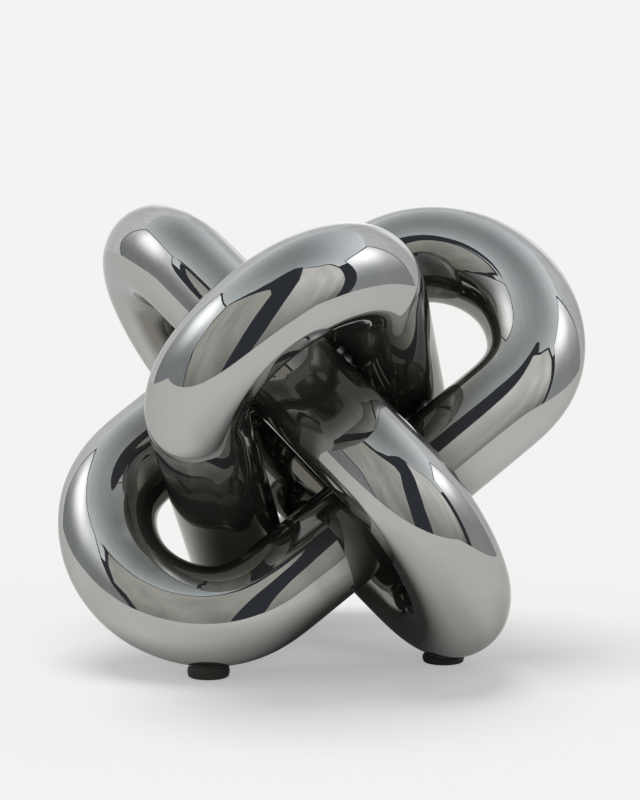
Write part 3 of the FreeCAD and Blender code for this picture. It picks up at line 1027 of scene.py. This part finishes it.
def build_lit_cloth():
    group, given = new_group(
        "lit_cloth",
        [("Low Colour", COLOUR, WHITE), ("High Colour", COLOUR, WHITE),
         ("Low Height", FLOAT, 0.0), ("High Height", FLOAT, 1.0),
         ("Spot Colour", COLOUR, BLACK), ("Spot Place", VECTOR, (0, 0, 0)),
         ("Spot Reach", FLOAT, 1.0), ("Creases", FLOAT, 0.1)],
        [("Colour", COLOUR)])
    spot = step(group, "ShaderNodeNewGeometry", output="Position")
    height = step(group, "ShaderNodeSeparateXYZ", {0: spot}, "Z")
    rise = graded(group, height, given["Low Height"], given["High Height"], shape="SMOOTHSTEP")
    wash = mix(group, rise, given["Low Colour"], given["High Colour"])
    apart = step(group, "ShaderNodeVectorMath", {0: spot, 1: given["Spot Place"]}, "Value",
                 operation="DISTANCE")
    near = graded(group, apart, 0.0, given["Spot Reach"], 1.0, 0.0, "SMOOTHERSTEP")
    change = mix(group, near, BLACK, given["Spot Colour"])
    glow = step(group, "ShaderNodeVectorMath", {0: wash, 1: change}, operation="ADD")
    folds = step(group, "ShaderNodeMapping", {"Vector": spot, **CLOTH_FOLDS})
    crease = step(group, "ShaderNodeTexNoise", {"Vector": folds, **CREASE_GRAIN})
    ridge = graded(group, crease, CREASE_FROM, CREASE_TO, low=-1.0)
    shade = maths(group, "MULTIPLY_ADD", ridge, given["Creases"], 1.0)
    creased = step(group, "ShaderNodeVectorMath", {0: glow, "Scale": shade}, operation="SCALE")
    step(group, "NodeGroupOutput", {"Colour": creased})
    return group


lit_cloth = build_lit_cloth()
print("group", lit_cloth.name)

# %% [markdown]
# Each wall is a flat card at a real distance. Its corners are given as they
# are sighted from the sculpture, by heading and height in degrees, with
# heading 0 straight to the front and positive to the right. A slightly
# larger dark card behind a wall makes its seam. The camera doesn't see the
# walls, and they don't light the table. They are there for the reflections.

# %% Sighting and hanging a wall
MIDDLE_EYE = Vector((0.0, 0.0, 0.09))
SEAM, WIDE_SEAM = 1.0, 1.5
SEAM_SETBACK = 0.015
DARK_STUDIO = (0.040, 0.045, 0.058, 1.0)


def sighted(heading, height, wall_heading, wall_distance, eye):
    """Point of a standing wall that an eye sees at that heading and height, in degrees."""
    turn, wall_turn = math.radians(heading), math.radians(wall_heading)
    level = Vector((math.sin(turn), -math.cos(turn), 0))
    facing = Vector((math.sin(wall_turn), -math.cos(wall_turn), 0))
    reach = (wall_distance - eye.dot(facing)) / level.dot(facing)
    return eye + level * reach + Vector((0, 0, reach * math.tan(math.radians(height))))


def cloth_finish(name, low, high, low_height, high_height, spot=None, creases=0.08):
    """Glowing cloth: a colour below, a colour above and perhaps a brighter or darker spot."""
    material, tree = new_material(name)
    values = {"Low Colour": (*low, 1.0), "High Colour": (*high, 1.0),
              "Low Height": low_height, "High Height": high_height, "Creases": creases}
    if spot:
        place, colour, reach = spot
        values.update({"Spot Place": place, "Spot Colour": (*colour, 1.0), "Spot Reach": reach})
    surface(tree, "ShaderNodeEmission", {"Color": use_group(tree, lit_cloth, values)})
    material.cycles.emission_sampling = "NONE"
    return material


def gap_finish():
    """The unlit studio, as it shows in a gap between two walls."""
    material, tree = new_material("tent_gap")
    surface(tree, "ShaderNodeEmission", {"Color": DARK_STUDIO})
    return material


def hang(card, material):
    """Shows a card to reflections only."""
    dress([card], material)
    card.visible_camera = False
    card.visible_diffuse = False
    card.visible_shadow = False
    card.visible_volume_scatter = False


def spread_out(corners, margin):
    """Corners moved away from their middle, by a margin in degrees."""
    middle = [sum(places) / len(corners) for places in zip(*corners)]
    return [[place + math.copysign(margin, place - centre) for place, centre in zip(corner, middle)]
            for corner in corners]


def wall(name, heading, distance, corners, eye=MIDDLE_EYE, seam=SEAM, spot=None, **finish):
    """Lit card with its seam; the spot is its heading and height, its glow and its reach."""
    card = flat_card(name, [sighted(*corner, heading, distance, eye) for corner in corners])
    if spot:
        spot = (sighted(*spot[0], heading, distance, eye), *spot[1:])
    hang(card, cloth_finish(f"{name}_cloth", spot=spot, **finish))
    if seam:
        rim = [sighted(*corner, heading, distance + SEAM_SETBACK, eye)
               for corner in spread_out(corners, seam)]
        hang(flat_card(f"{name}_seam", rim), tent_gap)


tent_gap = gap_finish()
print("a seam is", SEAM, "or", WIDE_SEAM, "degrees wide")

# %% [markdown]
# The front flaps and the right wall stand near, because the links of the
# photograph mirror their edges in places that only near walls explain. A
# picture of the room wrapped round the world could not do that, because it
# stands infinitely far off. The comparison asks for an even nearer right
# wall, but there it would show under the table's line, so it hangs at the
# table's edge. How far off the left and back walls are is a guess.

# %% Walls of the tent
FRONT_EYE = Vector((-0.03, -0.06, 0.10))
RIGHT_EYE = Vector((0.02, -0.055, 0.12))
FRONT_HEADING, FRONT_DISTANCE, SLIT_DISTANCE = 7.5, 0.30, 0.66
LEFT_HEADING, LEFT_DISTANCE = -85, 1.30
RIGHT_HEADING, RIGHT_DISTANCE = 92, 0.43
BACK_HEADING, BACK_DISTANCE = 150, 1.50

wall("tent_front_left", FRONT_HEADING, FRONT_DISTANCE,
     [(-49, 46), (-20, 51), (0, 50.5), (13, 47.5), (19, 39), (15, 20), (12.5, 0), (8, -42),
      (-47, -42), (-47, -15), (-49, 4), (-53, 12), (-53, 30)],
     eye=FRONT_EYE, seam=WIDE_SEAM, low=(0.34, 0.332, 0.30), high=(0.61, 0.605, 0.56),
     low_height=-0.09, high_height=0.18, creases=0.30,
     spot=((8, -10), (-0.29, -0.284, -0.255), 0.22))
wall("tent_front_right", FRONT_HEADING, FRONT_DISTANCE,
     [(47, 58), (60, 49), (71, 43), (76, 30), (79, 10), (81, -15), (80, -42), (36, -42),
      (36.5, 0), (39, 20), (44, 40)],
     eye=FRONT_EYE, low=(0.26, 0.255, 0.235), high=(0.93, 0.92, 0.88),
     low_height=-0.13, high_height=0.36, creases=0.24)
wall("tent_left", LEFT_HEADING, LEFT_DISTANCE,
     [(-107, 42), (-100, 44), (-85, 45.5), (-70, 45), (-54, 43), (-55, 30), (-53, 12), (-49, 0),
      (-48, -12), (-48, -20), (-114, -20), (-119, 10), (-114, 28)],
     low=(0.34, 0.355, 0.365), high=(1.12, 1.15, 1.17), low_height=0.18, high_height=1.18,
     creases=0.12, spot=((-84, 36), (1.2, 1.2, 1.2), 0.75))
wall("tent_right", RIGHT_HEADING, RIGHT_DISTANCE,
     [(83, 38), (90, 40), (105, 42), (120, 42), (128, 22), (136, 2), (143, -13), (143, -32),
      (91, -32), (88, -16), (86, 12)],
     eye=RIGHT_EYE, low=(0.42, 0.435, 0.44), high=(1.12, 1.14, 1.16),
     low_height=0.10, high_height=0.40, creases=0.06, spot=((102, 36), (1.2, 1.2, 1.2), 0.24))
wall("tent_back_left", -BACK_HEADING, BACK_DISTANCE,
     [(-107, 47), (-150, 47), (-179.9, 44), (-179.9, -10), (-115, -10), (-115, 10), (-110, 30)],
     seam=None, low=(0.96, 0.96, 0.96), high=(1.0, 1.01, 1.02), low_height=0.0, high_height=1.5,
     creases=0.12, spot=((-172, 14), (0.9, 0.9, 0.9), 0.55))
wall("tent_back_right", BACK_HEADING, BACK_DISTANCE,
     [(119, 46), (150, 47), (179.9, 44), (179.9, -14), (140, -14), (133, 0), (125, 20)],
     seam=None, low=(0.82, 0.82, 0.82), high=(0.90, 0.91, 0.92), low_height=0.0, high_height=1.5,
     creases=0.12, spot=((171, 14), (0.8, 0.8, 0.8), 0.55))
slit = [(-52, 46), (-20, 55), (0, 60), (20, 65), (32, 66), (44, 62), (48, 50), (42, -42), (5, -42),
        (5, 40)]
hang(flat_card("tent_slit", [sighted(*corner, FRONT_HEADING, SLIT_DISTANCE, FRONT_EYE)
                             for corner in slit]), tent_gap)
print("tent walls hung")

# %% [markdown]
# The roof of the tent is one sheet that hangs lower towards its rim: darker
# straight above, where no lamp stands behind it, and paler towards the
# sides. A shallow bowl turned over gives the same change of tone with a
# single gradient on its height.

# %% Roof of the tent
ROOF_HEIGHT, ROOF_EDGE_HEIGHT = 2.30, 1.60
ROOF_REACH = 2.25
ROOF_SAG = 1.3
ROOF_RINGS = 12
ROOF_SIDES = 48
ROOF_EDGE_GLOW, ROOF_MIDDLE_GLOW = (1.00, 1.06, 1.08), (0.38, 0.415, 0.425)
ROOF_SPOT = (Vector((1.1, 0.9, 1.9)), (0.30, 0.31, 0.32), 1.7)
ROOF_CREASES = 0.07


def roof_points():
    points = [(0, 0, ROOF_HEIGHT)]
    for ring in range(1, ROOF_RINGS + 1):
        share = ring / ROOF_RINGS
        height = ROOF_HEIGHT - (ROOF_HEIGHT - ROOF_EDGE_HEIGHT) * share ** ROOF_SAG
        for turn in around(ROOF_SIDES):
            points.append((ROOF_REACH * share * math.cos(turn),
                           ROOF_REACH * share * math.sin(turn), height))
    return points


def build_roof():
    faces = [(0, 1 + side, 1 + (side + 1) % ROOF_SIDES) for side in range(ROOF_SIDES)]
    for face in quads(ROOF_RINGS, ROOF_SIDES, False):
        faces.append(tuple(corner + 1 for corner in face))
    roof = new_piece("tent_roof", roof_points(), faces, len(faces))
    hang(roof, cloth_finish("tent_roof_cloth", ROOF_EDGE_GLOW, ROOF_MIDDLE_GLOW, ROOF_EDGE_HEIGHT,
                            ROOF_HEIGHT, ROOF_SPOT, ROOF_CREASES))


build_roof()
print("tent roof hung")

# %% [markdown]
# ## Lamps and world
# The table is lit evenly by the world and by one very soft sun. The sun
# stands high, a little to the left and behind, so the shadow lies close
# under the sculpture and slightly to the right and front. Behind the tent's
# gaps the studio is dark, so a reflection that misses every wall finds
# almost nothing.

# %% Sun and world
SKY_LEVEL = 0.36
SUN_LEVEL = 1.66
SUN_HEADING = math.radians(-130)
SUN_HEIGHT = math.radians(78)
SUN_SOFTNESS = math.radians(38)
PALE_BACKDROP = (0.905, 0.905, 0.895, 1.0)

sun_data = bpy.data.lights.new("soft_sun", "SUN")
sun_data.energy = SUN_LEVEL
sun_data.angle = SUN_SOFTNESS
sun = bpy.data.objects.new("soft_sun", sun_data)
bpy.context.scene.collection.objects.link(sun)
sun.matrix_world = (
    Matrix.Rotation(SUN_HEADING, 4, "Z")
    @ Matrix.Rotation(RIGHT_ANGLE - SUN_HEIGHT, 4, "X")
)
sun.visible_glossy = False


def build_world():
    world = bpy.data.worlds.new("studio")
    world.use_nodes = True
    tree = world.node_tree
    tree.nodes.clear()
    sky = step(tree, "ShaderNodeBackground", {"Color": WHITE, "Strength": SKY_LEVEL})
    dark = step(tree, "ShaderNodeBackground", {"Color": DARK_STUDIO})
    backdrop = step(tree, "ShaderNodeBackground", {"Color": PALE_BACKDROP})
    mirrored = step(tree, "ShaderNodeLightPath", output="Is Glossy Ray")
    seen = step(tree, "ShaderNodeLightPath", output="Is Camera Ray")
    room = step(tree, "ShaderNodeMixShader", {0: mirrored, 1: sky, 2: dark})
    view = step(tree, "ShaderNodeMixShader", {0: seen, 1: room, 2: backdrop})
    step(tree, "ShaderNodeOutputWorld", {"Surface": view})
    bpy.context.scene.world = world


build_world()
print("sky", SKY_LEVEL, "sun", SUN_LEVEL)
